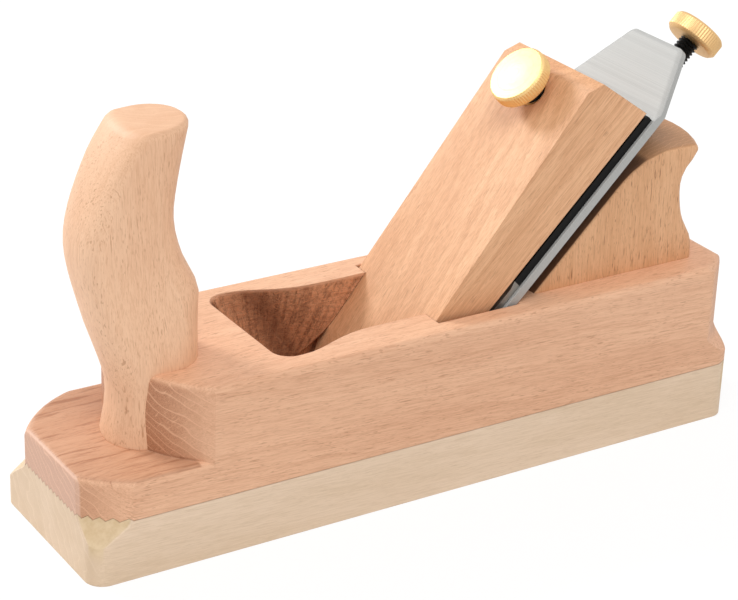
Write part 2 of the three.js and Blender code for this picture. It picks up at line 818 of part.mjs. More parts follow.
// A round knob with chamfered rims, socketed over the end of its screw
function knob(diameter, thickness, screwDiameter) {
  const outer = diameter / 2;
  const socket = screwDiameter / 2 + seatGap;
  const floor = thickness / 2 + seatGap;
  return turned([
    [socket, 0],
    [outer - knobChamfer, 0],
    [outer, knobChamfer],
    [outer, thickness - smallChamfer],
    [outer - smallChamfer, thickness],
    [0, thickness],
    [0, floor],
    [socket, floor],
    [socket, 0],
  ]);
}

// ---------------------------------------------------------------- adjuster, in the iron's frame

// A turned profile laid along the rod's axis
function alongRod(profile) {
  return turned(profile).rotateY(Math.PI / 2).translate(0, 0, -rodDepth);
}

const collarRadius = collarDiameter / 2;
const rodRadius = rodDiameter / 2;
const upperCollar = pivotDistance + pivotDiameter / 2 + fitGap;
const lowerCollar = pivotDistance - pivotDiameter / 2 - fitGap - collarThickness;
const rodStart = lowerCollar - rodGrooveMargin / 2;

function adjusterRod() {
  return alongRod([
    [0, rodStart],
    [rodRadius - smallChamfer, rodStart],
    [rodRadius, rodStart + smallChamfer],
    [rodRadius, rodEnd - adjusterKnobThickness / 2],
    [0, rodEnd - adjusterKnobThickness / 2],
  ]);
}

function collar(start) {
  const inner = rodRadius + seatGap;
  return alongRod([
    [inner, start],
    [collarRadius, start],
    [collarRadius, start + collarThickness],
    [inner, start + collarThickness],
    [inner, start],
  ]);
}

function adjusterKnob() {
  return knob(adjusterKnobDiameter, adjusterKnobThickness, rodDiameter)
    .rotateY(Math.PI / 2)
    .translate(rodEnd - adjusterKnobThickness, 0, -rodDepth);
}

// Barrel that swings in the bed, cross-bored for the rod
function adjusterPivot() {
  const bore = solid(alongRod([
    [0, 0],
    [rodRadius + fitGap, 0],
    [rodRadius + fitGap, ironLength],
    [0, ironLength],
  ]));
  return solid(turned([
    [0, pivotFoot],
    [pivotDiameter / 2 - smallChamfer, pivotFoot],
    [pivotDiameter / 2, pivotFoot + smallChamfer],
    [pivotDiameter / 2, -pivotHeadDepth],
    [0, -pivotHeadDepth],
  ]).translate(pivotDistance, 0, 0)).subtract(bore);
}

// Bush under the groove's floor, in which the barrel swings
function pivotBush() {
  const inner = pivotDiameter / 2 + fitGap;
  const top = -rodGrooveDepth - seatGap;
  return turned([
    [inner, pivotFoot],
    [bushRadius, pivotFoot],
    [bushRadius, top],
    [inner, top],
    [inner, pivotFoot],
  ]).translate(pivotDistance, 0, 0);
}

// Nut that travels on the rod and holds the breaker screw's head between two lips
function adjusterCarriage() {
  const half = carriageLength / 2;
  const grip = breakerScrewHeadDiameter / 2 + fitGap;
  const seat = -(ironThickness + seatGap + breakerScrewHeadThickness + fitGap);
  const shape = outline([
    [-half, -carriageFloorDepth],
    [half, -carriageFloorDepth],
    [half, -carriageLipDepth],
    [grip, -carriageLipDepth],
    [grip, seat],
    [-grip, seat],
    [-grip, -carriageLipDepth],
    [-half, -carriageLipDepth],
  ]);
  const block = extrude(shape, 'Y', -carriageWidth / 2, carriageWidth / 2);
  const bore = alongRod([
    [0, 0],
    [rodRadius + seatGap, 0],
    [rodRadius + seatGap, ironLength],
    [0, ironLength],
  ]);
  return solid(block.translate(breakerScrewDistance, 0, 0)).subtract(solid(bore));
}

// ---------------------------------------------------------------- the plane

const plane = new THREE.Group();
plane.name = 'hand_plane';

plane.add(piece('stock', stock(), 'beech'));
plane.add(piece('sole', sole(), 'hornbeam'));
plane.add(piece('horn', hornSolid(0).subtract(hornDowel(seatGap)), 'beech'));
plane.add(piece('horn_dowel', hornDowel(0), 'beech'));
plane.add(piece('heel_block', heelBlock(), 'beech'));
heelDowels(0).forEach((dowel, i) => {
  plane.add(piece(`heel_dowel_${i ? 'front' : 'rear'}`, dowel, 'beech'));
});

const irons = new THREE.Group();
irons.position.set(mouthPosition, 0, 0);
irons.rotation.set(0, bed, Math.PI);
irons.add(piece('iron', iron(), 'steel'));
irons.add(piece('chip_breaker', chipBreaker(), 'blackSteel'));
irons.add(piece('breaker_screw', breakerScrew(), 'steel'));
irons.add(piece('lever_cap', leverCap(), 'beech'));
irons.add(piece('cap_insert', capInsert(), 'brass'));
irons.add(piece('clamp_screw', clampScrew(), 'blackSteel'));
irons.add(piece('clamp_foot', clampFoot(), 'brass'));
irons.add(piece('adjuster_rod', adjusterRod(), 'blackSteel'));
irons.add(piece('adjuster_knob', adjusterKnob(), 'brass'));
irons.add(piece('rod_collar_upper', collar(upperCollar), 'steel'));
irons.add(piece('rod_collar_lower', collar(lowerCollar), 'steel'));
irons.add(piece('adjuster_pivot', adjusterPivot(), 'steel'));
irons.add(piece('pivot_bush', pivotBush(), 'steel'));
irons.add(piece('adjuster_carriage', adjusterCarriage(), 'steel'));

const clampKnob = piece('clamp_knob',
  knob(clampKnobDiameter, clampKnobThickness, clampScrewDiameter), 'brass');
clampKnob.position.set(clampDistance, 0, knobSeat);
irons.add(clampKnob);
plane.add(irons);

export default plane;
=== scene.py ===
"""Looks of the horned smoothing plane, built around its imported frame. Metres, +X toe, +Y left, +Z up."""

import json
import math

import bmesh
import bpy
from mathutils import Matrix, Vector


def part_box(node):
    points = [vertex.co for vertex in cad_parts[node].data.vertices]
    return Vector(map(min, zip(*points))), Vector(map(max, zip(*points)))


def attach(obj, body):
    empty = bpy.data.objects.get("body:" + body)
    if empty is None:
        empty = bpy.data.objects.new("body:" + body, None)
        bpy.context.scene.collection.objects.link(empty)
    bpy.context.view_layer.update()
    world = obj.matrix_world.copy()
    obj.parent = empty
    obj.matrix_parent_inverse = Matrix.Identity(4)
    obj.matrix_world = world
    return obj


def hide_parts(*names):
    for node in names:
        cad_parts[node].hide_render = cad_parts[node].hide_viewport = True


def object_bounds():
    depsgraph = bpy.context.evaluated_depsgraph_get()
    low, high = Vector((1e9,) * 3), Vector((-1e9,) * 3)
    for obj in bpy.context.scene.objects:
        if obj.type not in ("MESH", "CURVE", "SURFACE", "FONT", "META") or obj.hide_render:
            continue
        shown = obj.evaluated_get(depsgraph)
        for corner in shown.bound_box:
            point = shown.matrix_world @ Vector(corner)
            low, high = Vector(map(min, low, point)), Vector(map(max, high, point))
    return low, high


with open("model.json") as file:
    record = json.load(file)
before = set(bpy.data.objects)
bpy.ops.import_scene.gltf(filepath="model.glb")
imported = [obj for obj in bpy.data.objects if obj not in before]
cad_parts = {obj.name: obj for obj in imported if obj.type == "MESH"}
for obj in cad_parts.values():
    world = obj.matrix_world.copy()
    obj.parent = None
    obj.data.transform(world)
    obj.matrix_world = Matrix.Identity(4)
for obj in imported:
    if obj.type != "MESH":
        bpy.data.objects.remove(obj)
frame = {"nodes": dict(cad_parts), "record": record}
CAD_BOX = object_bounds()
NODES = frame["nodes"]
BODY_OF = {node: body for body, nodes in frame["record"]["behaviour"]["bodies"].items() for node in nodes}
MM = 0.001

# ---------------------------------------------------------------- places on the plane

BED_UP = Vector((-math.sqrt(0.5), 0, math.sqrt(0.5)))    # up the bed, to the iron's top
BED_OUT = Vector((math.sqrt(0.5), 0, math.sqrt(0.5)))    # off the iron's front face
TOE, SIDE, STOCK_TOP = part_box("stock")[1]
TOOTH_PITCH = 2.5 * MM
TOOTH_HEIGHT = 1.2 * MM
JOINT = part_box("sole")[1][2] - TOOTH_HEIGHT / 2
THROAT_FRONT = 53.4 * MM             # the pocket's front edge on the stock's top
THROAT_BACK = -75 * MM               # behind the last wood that the throat cuts
CHEEK = 5.5 * MM                     # the walls beside the throat
THROAT_CORNER = 7.5 * MM             # foot of the shaded corner that leans across the cheeks
MOUTH = 27 * MM                      # the mouth, from which the tool strokes in the throat fan out
DECK = CAD_BOX[0][2] + 32.5 * MM     # height of the toe's deck
DECK_BACK = THROAT_FRONT + 30 * MM   # where the deck starts, at the step
CUT_REACH = 15.5 * MM                # x and y together that a corner cut at the toe takes off
FADE = 0.5 * MM                      # how softly one finish passes into the next


def along(node, axis):
    """Lowest and highest reach of a CAD node along an axis."""
    reach = [v.co @ axis for v in NODES[node].data.vertices]
    return min(reach), max(reach)


def centre(node):
    """Middle of a CAD node's box."""
    low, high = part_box(node)
    return (low + high) / 2


# ---------------------------------------------------------------- node tree helpers

class Tree:
    """Short names for building a material's node tree."""

    def __init__(self, name):
        self.material = bpy.data.materials.new(name)
        self.material.use_nodes = True
        self.tree = self.material.node_tree
        self.tree.nodes.clear()
        self.output = self.tree.nodes.new("ShaderNodeOutputMaterial")
        self.shader = self.tree.nodes.new("ShaderNodeBsdfPrincipled")
        self.link(self.shader.outputs["BSDF"], self.output.inputs["Surface"])

    def node(self, kind, **settings):
        made = self.tree.nodes.new(kind)
        for key, value in settings.items():
            setattr(made, key, value)
        return made

    def link(self, source, target):
        self.tree.links.new(source, target)

    def fill(self, socket, value):
        """Links a socket to another one, or sets it to a plain value."""
        if isinstance(value, bpy.types.NodeSocket):
            self.link(value, socket)
        else:
            socket.default_value = value

    def math(self, operation, *values):
        made = self.node("ShaderNodeMath", operation=operation)
        for socket, value in zip(made.inputs, values):
            self.fill(socket, value)
        return made.outputs[0]

    def product(self, first, *others):
        """All the values multiplied with one another."""
        for other in others:
            first = self.math("MULTIPLY", first, other)
        return first

    def distance(self, a, b):
        """How far two numbers lie apart."""
        return self.math("ABSOLUTE", self.math("SUBTRACT", a, b))

    def split(self, vector):
        """The x, y and z of a vector."""
        made = self.node("ShaderNodeSeparateXYZ")
        self.link(vector, made.inputs[0])
        return made.outputs

    def join(self, *values):
        """A vector made of up to three numbers."""
        made = self.node("ShaderNodeCombineXYZ")
        for socket, value in zip(made.inputs, values):
            self.link(value, socket)
        return made.outputs[0]

    def vector(self, operation, *values):
        made = self.node("ShaderNodeVectorMath", operation=operation)
        for socket, value in zip(made.inputs, values):
            self.fill(socket, value)
        return made.outputs["Value" if operation in ("DOT_PRODUCT", "LENGTH") else "Vector"]

    def mix(self, factor, a, b, blend="MIX"):
        made = self.node("ShaderNodeMix", data_type="RGBA", blend_type=blend)
        self.fill(made.inputs[0], factor)
        self.fill(made.inputs[6], a)
        self.fill(made.inputs[7], b)
        return made.outputs[2]

    def ramp(self, factor, *stops):
        """Smooth passage: from the first two stops of the factor to the last two of the result."""
        made = self.node("ShaderNodeMapRange", interpolation_type="SMOOTHSTEP")
        self.fill(made.inputs[0], factor)
        for socket, value in zip(made.inputs[1:5], stops):
            socket.default_value = value
        return made.outputs[0]

    def noise(self, vector, scale, detail=2.0, roughness=0.5):
        """Soft noise from 0 to 1 with so many features to each unit of the vector."""
        made = self.node("ShaderNodeTexNoise")
        self.fill(made.inputs["Vector"], vector)
        made.inputs["Scale"].default_value = scale
        made.inputs["Detail"].default_value = detail
        made.inputs["Roughness"].default_value = roughness
        return made.outputs["Fac"]

    def object_point(self):
        return self.node("ShaderNodeTexCoord").outputs["Object"]

    def object_normal(self):
        return self.node("ShaderNodeTexCoord").outputs["Normal"]

    def bump(self, height, distance, strength, round_edges=0.0):
        made = self.node("ShaderNodeBump")
        made.inputs["Strength"].default_value = strength
        made.inputs["Distance"].default_value = distance
        self.link(height, made.inputs["Height"])
        if round_edges:
            soft = self.node("ShaderNodeBevel", samples=6)
            soft.inputs["Radius"].default_value = round_edges
            self.link(soft.outputs["Normal"], made.inputs["Normal"])
        self.link(made.outputs["Normal"], self.shader.inputs["Normal"])


def srgb(r, g, b):
    """Linear colour of an 8-bit display colour."""
    shares = (r / 255, g / 255, b / 255)
    return tuple(c / 12.92 if c <= 0.04045 else ((c + 0.055) / 1.055) ** 2.4 for c in shares) + (1.0,)


# ---------------------------------------------------------------- wood

GLUE = srgb(128, 82, 52)
GLUE_SHARE = 0.25
# painted shade for the heel block's slope in the gap behind the iron
HEEL_PAINTED_SHADE = srgb(74, 40, 24)
DECK_WOOD = srgb(170, 118, 88)
DECK_TEARS = srgb(158, 100, 66)
# painted light that makes the toe's end face paler
TOE_FACE_PAINTED_LIGHT = srgb(240, 206, 186)
HONEY_DARK = srgb(216, 187, 142)
HONEY_LIGHT = srgb(230, 204, 164)
# the throat's tones are multiplied with the stock's colour
THROAT_SIDES = (0.94, 0.82, 0.72, 1)
THROAT_ENDS = (0.38, 0.25, 0.18, 1)
THROAT_TEARS = (0.24, 0.15, 0.10, 1)
THROAT_SHADE = (0.20, 0.11, 0.07, 1)
THROAT_SPECKS = (1.0, 0.8, 0.66, 1)


def throat_mask(t, point):
    """1 inside the throat, 0 on the block's outer faces."""
    x, y, z = t.split(point)
    below_top = t.ramp(z, STOCK_TOP - 1.6 * MM, STOCK_TOP - 0.4 * MM, 1.0, 0.0)
    between = t.ramp(t.math("ABSOLUTE", y), SIDE - CHEEK, SIDE - CHEEK + FADE, 1.0, 0.0)
    front = t.ramp(x, THROAT_FRONT, THROAT_FRONT + FADE, 1.0, 0.0)
    back = t.ramp(x, THROAT_BACK, THROAT_BACK + FADE, 0.0, 1.0)
    above_sole = t.ramp(z, JOINT + 0.8 * MM, JOINT + 1.2 * MM, 0.0, 1.0)
    return t.product(below_top, between, front, back, above_sole)


def glue_mask(t, point):
    """1 along the toothed joint between stock and sole."""
    x, y, z = t.split(point)
    tooth = t.math("FRACT", t.math("DIVIDE", y, TOOTH_PITCH))
    drop = t.math("MULTIPLY", t.distance(tooth, 0.5), 2 * TOOTH_HEIGHT)
    joint = t.math("SUBTRACT", JOINT + TOOTH_HEIGHT / 2, drop)
    return t.ramp(t.distance(z, joint), 0.06 * MM, 0.26 * MM, 1.0, 0.0)


def wood(name, grain, rings, spacing, light, dark, fleck, fleck_share, streak, ends,
         contrast, offset=(0, 0, 0), marks=None):
    """Solid wood. grain is the fibres' direction, rings the direction across the growth rings and
    spacing their distance. The colours are for early wood, late wood and the ray flecks, and the
    shares say how much flecks, streaks, end grain and rings show. marks adds a piece's own traces
    and its painted shade and light."""
    t = Tree(name)
    along_grain = Vector(grain).normalized()
    across = Vector(rings)
    across = (across - across.dot(along_grain) * along_grain).normalized()
    third = along_grain.cross(across)
    place = t.object_point()
    point = t.vector("ADD", place, offset)
    g = t.vector("DOT_PRODUCT", point, along_grain)
    a = t.vector("DOT_PRODUCT", point, across)
    b = t.vector("DOT_PRODUCT", point, third)

    def stretched(length, width, depth):
        """The point counted in features of a length, width and depth in millimetres."""
        sizes = (length * MM, width * MM, depth * MM)
        return t.join(*[t.math("DIVIDE", part, size) for part, size in zip((g, a, b), sizes)])

    # growth rings: gently curved sheets of uneven width, each darker on its late side
    sway = t.noise(stretched(120, 20, 40), 1.0, 3.0, 0.55)
    curve = t.product(b, b, 4.0)
    depth = t.math("ADD", t.math("ADD", a, curve), t.math("MULTIPLY", sway, 7 * spacing))
    phase = t.math("FRACT", t.math("DIVIDE", depth, spacing))
    year = t.math("FLOOR", t.math("DIVIDE", depth, spacing))
    late = t.ramp(phase, 0.30, 0.92, 0.0, 1.0)
    edge = t.ramp(phase, 0.92, 1.0, 1.0, 0.0)
    weather = t.node("ShaderNodeTexWhiteNoise", noise_dimensions="1D")
    t.link(year, weather.inputs["W"])
    ring = t.product(late, edge, t.ramp(weather.outputs["Value"], 0, 1, 0.35, 1.0))

    # board-wide drift of colour, long streaks, and fine fibres
    drift = t.noise(stretched(100, 12, 12), 1.0, 3.0, 0.55)
    streaks = t.noise(stretched(30, 0.9, 0.9), 1.0, 4.0, 0.65)
    fibres = t.noise(stretched(4, 0.16, 0.16), 1.0, 2.0, 0.6)
    lines = t.noise(stretched(8, 0.4, 0.4), 1.0, 3.0, 0.7)

    # ray flecks: short dark dashes along the grain, thick and thin
    short_dashes = t.ramp(t.noise(stretched(2, 0.24, 0.7), 1.0, 0.0, 0.4), 0.66, 0.78, 0.0, 0.8)
    long_dashes = t.ramp(t.noise(stretched(4.8, 0.36, 1), 1.0, 0.0, 0.4), 0.70, 0.80, 0.0, 1.0)
    crowd = t.ramp(t.noise(stretched(16, 5, 5), 1.0, 2.0), 0.35, 0.6, 0.3, 1.0)
    flecks = t.product(t.math("MAXIMUM", short_dashes, long_dashes), crowd)

    # how far the surface looks along the fibres, where it shows end grain
    facing = t.math("ABSOLUTE", t.vector("DOT_PRODUCT", t.object_normal(), along_grain))
    end = t.ramp(facing, 0.45, 0.95, 0.0, 1.0)
    side = t.math("SUBTRACT", 1.0, end)

    colour = t.mix(t.product(ring, contrast), light, dark)
    colour = t.mix(t.product(t.ramp(drift, 0.3, 0.7, 0.0, 1.0), streak), colour, dark)
    colour = t.mix(t.product(t.ramp(streaks, 0.42, 0.72, 0.0, 0.55), streak), colour, dark)
    colour = t.mix(t.product(t.ramp(fibres, 0.5, 0.8, 0.0, 0.30), side), colour, dark)
    line_colour = t.mix(0.35, dark, fleck)
    colour = t.mix(t.product(t.ramp(lines, 0.46, 0.64, 0.0, 0.34), side), colour, line_colour)
    colour = t.mix(t.product(t.ramp(lines, 0.36, 0.50, 0.4, 0.0), side), colour, light)
    colour = t.mix(t.product(flecks, side, fleck_share), colour, fleck)

    # end grain: dark pores, pale rays, and a pale line where one year's ring meets the next
    vessels = t.noise(stretched(20, 0.28, 0.28), 1.0, 1.0)
    rays = t.noise(stretched(20, 3, 0.3), 1.0, 1.0)
    end_colour = t.mix(t.ramp(vessels, 0.42, 0.70, 0.42, 0.85), dark, fleck)
    end_colour = t.mix(t.ramp(rays, 0.62, 0.74, 0.0, 0.4), end_colour, light)
    pale = t.math("ADD", t.ramp(phase, 0.0, 0.12, 1.0, 0.0), t.ramp(phase, 0.88, 1.0, 0.0, 1.0))
    end_colour = t.mix(t.product(pale, 0.55), end_colour, light)
    colour = t.mix(t.product(end, ends), colour, end_colour)

    relief = t.math("SUBTRACT", t.product(fibres, -0.5), t.product(flecks, 0.5))
    if marks:
        colour, relief = marks(t, place, colour, relief, end)
    t.link(colour, t.shader.inputs["Base Color"])
    t.link(t.ramp(fibres, 0.3, 0.8, 0.48, 0.60), t.shader.inputs["Roughness"])
    t.shader.inputs["Specular IOR Level"].default_value = 0.35
    t.bump(relief, 0.06 * MM, 0.6, round_edges=0.4 * MM)
    return t.material


def stock_marks_and_painted_light(t, place, colour, relief, end):
    """The throat is darker and torn, most of all its end grain. Torn streaks run along the toe's
    deck, the toe's face is made paler with painted light, and a little glue shows at the joint."""
    x, y, z = t.split(place)
    width = t.math("ABSOLUTE", y)

    # the throat: fuzz and tool strokes, pale specks, and a shaded corner beside the mouth
    inside = throat_mask(t, place)
    fuzz = t.ramp(t.noise(place, 760.0, 4.0, 0.8), 0.47, 0.58, 0.0, 1.0)
    fan = t.math("ARCTAN2", z, t.math("SUBTRACT", x, MOUTH))
    stroke_place = t.join(t.product(fan, 26.0), t.product(t.math("ADD", y, z), 50.0))
    strokes = t.ramp(t.noise(stroke_place, 1.0, 3.0, 0.6), 0.47, 0.58, 0.0, 1.0)
    torn = t.math("ADD", t.product(fuzz, 0.5), t.product(strokes, 0.5))
    torn = t.product(torn, t.math("ADD", t.product(end, 0.35), 0.65))
    specks = t.ramp(t.noise(place, 1300.0, 1.0, 0.5), 0.60, 0.68, 0.0, 0.7)
    leaning = t.math("SUBTRACT", x, t.product(z, 0.5))
    corner = t.ramp(t.distance(leaning, THROAT_CORNER), 1.5 * MM, 6.5 * MM, 0.45, 0.0)
    tone = t.mix(end, THROAT_SIDES, THROAT_ENDS)
    tone = t.mix(torn, tone, THROAT_TEARS)
    tone = t.mix(specks, tone, THROAT_SPECKS)
    tone = t.mix(t.product(corner, t.ramp(width, 6 * MM, 14 * MM, 0.0, 1.0)), tone, THROAT_SHADE)
    colour = t.mix(inside, colour, t.mix(1.0, colour, tone, "MULTIPLY"))

    # the deck at the toe
    on_level = t.ramp(t.distance(z, DECK), 0.4 * MM, 0.9 * MM, 1.0, 0.0)
    deck = t.product(on_level, t.ramp(x, DECK_BACK, DECK_BACK + 2 * FADE, 0.0, 1.0))
    tears = t.noise(t.join(t.product(x, 42.0), t.product(y, 420.0)), 1.0, 4.0, 0.62)
    tear = t.product(deck, t.ramp(tears, 0.50, 0.66, 0.0, 1.0))
    colour = t.mix(t.product(deck, 0.45), colour, DECK_WOOD)
    colour = t.mix(t.product(tear, 0.62), colour, DECK_TEARS)

    # painted light: the toe's end face is made paler
    colour = t.mix(t.ramp(x, TOE - 1.2 * MM, TOE - 0.6 * MM, 0.0, 0.45), colour, TOE_FACE_PAINTED_LIGHT)
    colour = t.mix(t.product(glue_mask(t, place), GLUE_SHARE), colour, GLUE)
    rough = t.product(inside, torn, -9.0)
    return colour, t.math("SUBTRACT", t.math("ADD", relief, rough), t.product(tear, 1.5))


def heel_painted_shade(t, place, colour, relief, end):
    """The heel block's slope behind the iron is darkened with painted shade, the shade of the deep gap
    behind the iron.
    """
    slope = t.vector("DOT_PRODUCT", t.object_normal(), tuple(BED_OUT))
    # painted shade on the slope that faces off the bed
    return t.mix(t.ramp(slope, 0.90, 0.97, 0.0, 0.85), colour, HEEL_PAINTED_SHADE), relief


def sole_marks(t, place, colour, relief, end):
    """Glue at the joint, and honey-coloured wood where the corner cuts run out into the sole."""
    x, y, z = t.split(place)
    length = t.math("ABSOLUTE", x)
    width = t.math("ABSOLUTE", y)
    cut_start = TOE + SIDE - CUT_REACH
    reach = t.ramp(t.math("ADD", length, width), cut_start, cut_start + 2 * MM, 0.0, 1.0)
    off_sides = t.ramp(width, SIDE - 0.6 * MM, SIDE - 0.3 * MM, 1.0, 0.0)
    off_ends = t.ramp(length, TOE - 0.6 * MM, TOE - 0.3 * MM, 1.0, 0.0)
    cut = t.product(reach, off_sides, off_ends, t.ramp(z, 6.5 * MM, 14 * MM, 0.0, 1.0))
    blotch = t.noise(place, 260.0, 3.0, 0.6)
    honey = t.mix(t.ramp(blotch, 0.35, 0.65, 0.0, 1.0), HONEY_DARK, HONEY_LIGHT)
    colour = t.mix(t.product(cut, 0.8), colour, honey)
    return t.mix(t.product(glue_mask(t, place), GLUE_SHARE), colour, GLUE), relief


STOCK_WOOD = wood(
    "beech_stock", grain=(1, 0, 0.05), rings=(0, 0.62, 0.78), spacing=2.6 * MM,
    light=srgb(245, 196, 160), dark=srgb(218, 162, 126), fleck=srgb(158, 98, 64),
    fleck_share=0.42, streak=0.4, ends=1.0, contrast=0.35, marks=stock_marks_and_painted_light)
SOLE_WOOD = wood(
    "hornbeam", grain=(1, 0.02, 0.03), rings=(0, 0.3, 0.95), spacing=5 * MM,
    light=srgb(243, 218, 192), dark=srgb(227, 200, 169), fleck=srgb(194, 163, 127),
    fleck_share=0.25, streak=0.7, ends=0.35, contrast=0.3, offset=(0.3, 0.1, 0), marks=sole_marks)
HORN_WOOD = wood(
    "beech_horn", grain=(0.03, 0.02, 1), rings=(0.9, 0.43, 0), spacing=5 * MM,
    light=srgb(248, 204, 168), dark=srgb(231, 180, 142), fleck=srgb(172, 114, 76),
    fleck_share=0.5, streak=0.5, ends=0.25, contrast=0.3, offset=(0.05, 0.2, 0.1))
HEEL_WOOD = wood(
    "beech_heel", grain=(0.02, 0, 1), rings=(0.8, 0.6, 0), spacing=4.5 * MM,
    light=srgb(238, 188, 144), dark=srgb(214, 158, 112), fleck=srgb(140, 84, 50),
    fleck_share=0.7, streak=0.5, ends=0.6, contrast=0.25, offset=(0.1, 0.3, 0.2), marks=heel_painted_shade)
CAP_WOOD = wood(
    "beech_cap", grain=BED_UP, rings=(0.5, 0.7, 0.5), spacing=3.4 * MM,
    light=srgb(244, 192, 148), dark=srgb(212, 154, 110), fleck=srgb(150, 94, 58),
    fleck_share=0.35, streak=0.6, ends=0.5, contrast=0.5, offset=(0.2, 0.15, 0.05))


# ---------------------------------------------------------------- metal

def brass(name, axis, middle, bright, worn):
    """Turned brass: fine rings around an axis through a point, and blotches of wear."""
    t = Tree(name)
    point = t.vector("SUBTRACT", t.object_point(), tuple(middle))
    height = t.vector("DOT_PRODUCT", point, tuple(axis))
    length = t.vector("LENGTH", point)
    off_axis = t.math("SUBTRACT", t.product(length, length), t.product(height, height))
    radius = t.math("SQRT", t.math("MAXIMUM", off_axis, 0.0))
    turned = t.noise(t.join(t.product(radius, 7000.0), t.product(height, 3000.0)), 1.0, 2.0, 0.5)
    wear = t.ramp(t.noise(t.object_point(), 500.0, 3.0, 0.6), 0.45, 0.8, 0.0, 0.35)
    t.link(t.mix(wear, bright, worn), t.shader.inputs["Base Color"])
    t.shader.inputs["Metallic"].default_value = 1.0
    t.link(t.ramp(turned, 0.3, 0.8, 0.44, 0.58), t.shader.inputs["Roughness"])
    t.bump(turned, 0.01 * MM, 0.6)
    return t.material


def steel(name, tone, rough, across=None, round_edges=0.0, metal=1.0):
    """Ground steel; across is the direction in which the grinding lines lie side by side."""
    t = Tree(name)
    point = t.object_point()
    if across is None:
        lines = t.noise(point, 1500.0, 3.0, 0.6)
    else:
        side = across.cross(Vector((0, 1, 0))).normalized()
        crossing = t.product(t.vector("DOT_PRODUCT", point, tuple(across)), 9000.0)
        depth = t.product(t.vector("DOT_PRODUCT", point, tuple(side)), 120.0)
        lines = t.noise(t.join(crossing, depth), 1.0, 3.0, 0.65)
    darker = tuple(0.84 * c for c in tone[:3]) + (1.0,)
    t.link(t.mix(t.ramp(lines, 0.3, 0.75, 0.0, 1.0), tone, darker), t.shader.inputs["Base Color"])
    t.shader.inputs["Metallic"].default_value = metal
    t.link(t.ramp(lines, 0.3, 0.75, rough, rough + 0.1), t.shader.inputs["Roughness"])
    t.bump(lines, 0.02 * MM, 0.35, round_edges)
    return t.material


def black_steel(name, ground_below=None):
    """Blackened steel; below a height up the bed it may be ground bare."""
    t = Tree(name)
    point = t.object_point()
    mottle = t.noise(point, 420.0, 4.0, 0.6)
    colour = t.mix(mottle, srgb(7, 7, 7), srgb(18, 17, 16))
    metal = 0.3
    if ground_below is not None:
        height = t.vector("DOT_PRODUCT", point, tuple(BED_UP))
        bare = t.ramp(height, ground_below - 0.2 * MM, ground_below, 1.0, 0.0)
        colour = t.mix(bare, colour, srgb(150, 146, 140))
        metal = t.math("ADD", t.product(bare, 0.7), 0.3)
    t.link(colour, t.shader.inputs["Base Color"])
    t.fill(t.shader.inputs["Metallic"], metal)
    t.shader.inputs["Specular IOR Level"].default_value = 0.25
    t.link(t.ramp(mottle, 0.3, 0.7, 0.42, 0.6), t.shader.inputs["Roughness"])
    return t.material


BREAKER_BLACK = 68 * MM              # how far down from its top the breaker is blackened
IRON_STEEL = steel("ground_steel", srgb(186, 186, 183), 0.55, across=BED_UP, round_edges=0.2 * MM, metal=0.2)
ZINC_STEEL = steel("zinc_steel", srgb(190, 192, 196), 0.35)
BLACK_STEEL = black_steel("black_steel")
BREAKER_STEEL = black_steel("breaker_steel", along("chip_breaker", BED_UP)[1] - BREAKER_BLACK)
CLAMP_BRASS = brass("clamp_brass", BED_OUT, centre("clamp_knob"),
                    bright=srgb(240, 204, 142), worn=srgb(226, 180, 116))
ADJUSTER_BRASS = brass("adjuster_brass", BED_UP, centre("adjuster_knob"),
                       bright=srgb(228, 190, 136), worn=srgb(212, 168, 110))

FINISH = {
    "stock": STOCK_WOOD,
    "sole": SOLE_WOOD,
    "horn": HORN_WOOD,
    "horn_dowel": HORN_WOOD,
    "heel_block": HEEL_WOOD,
    "heel_dowel_rear": HEEL_WOOD,
    "heel_dowel_front": HEEL_WOOD,
    "lever_cap": CAP_WOOD,
    "iron": IRON_STEEL,
    "chip_breaker": BREAKER_STEEL,
    "clamp_screw": BLACK_STEEL,
    "adjuster_rod": BLACK_STEEL,
    "clamp_knob": CLAMP_BRASS,
    "adjuster_knob": ADJUSTER_BRASS,
    "clamp_foot": CLAMP_BRASS,
    "cap_insert": CLAMP_BRASS,
}
for node, thing in NODES.items():
    thing.data.materials.clear()
    thing.data.materials.append(FINISH.get(node, ZINC_STEEL))


# ---------------------------------------------------------------- pieces that replace CAD nodes

def stand_in(node, mesh):
    """A finer piece in the place of a CAD node, on its body and with its finish."""
    piece = bpy.data.objects.new(node + "_fine", mesh)
    bpy.context.scene.collection.objects.link(piece)
    mesh.materials.clear()
    mesh.materials.append(FINISH.get(node, ZINC_STEEL))
    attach(piece, BODY_OF[node])
    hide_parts(node)
    return piece


SHARP = math.radians(35)             # an edge that turns by more than this is a real edge
SHARP_TURNED = math.radians(28)      # the same on turned pieces
THREAD_PITCH = 1.25 * MM


def softened(node, edge=0.0, segments=2, reshape=None):
    """A copy of a CAD node with round edges and smoothly shaded curves, its points moved by reshape."""
    work = bmesh.new()
    work.from_mesh(NODES[node].data)
    bmesh.ops.remove_doubles(work, verts=work.verts, dist=0.002 * MM)
    if reshape:
        for vert in work.verts:
            vert.co = reshape(vert.co)
    else:
        bmesh.ops.dissolve_limit(work, angle_limit=math.radians(0.3), verts=work.verts, edges=work.edges)
    for face in work.faces:
        face.smooth = True
    for line in work.edges:
        line.smooth = line.calc_face_angle(0.0) < SHARP
    mesh = bpy.data.meshes.new(node + "_fine")
    work.to_mesh(mesh)
    work.free()
    piece = stand_in(node, mesh)
    if edge:
        bevel = piece.modifiers.new("edges", "BEVEL")
        bevel.limit_method = "ANGLE"
        bevel.angle_limit = SHARP
        bevel.width = edge
        bevel.segments = segments
    weigh = piece.modifiers.new("shading", "WEIGHTED_NORMAL")
    weigh.weight = 80
    weigh.keep_sharp = True
    return piece


def ease(value, start, end):
    """Smooth rise from 0 at the start to 1 at the end."""
    share = min(1.0, max(0.0, (value - start) / (end - start)))
    return share * share * (3 - 2 * share)


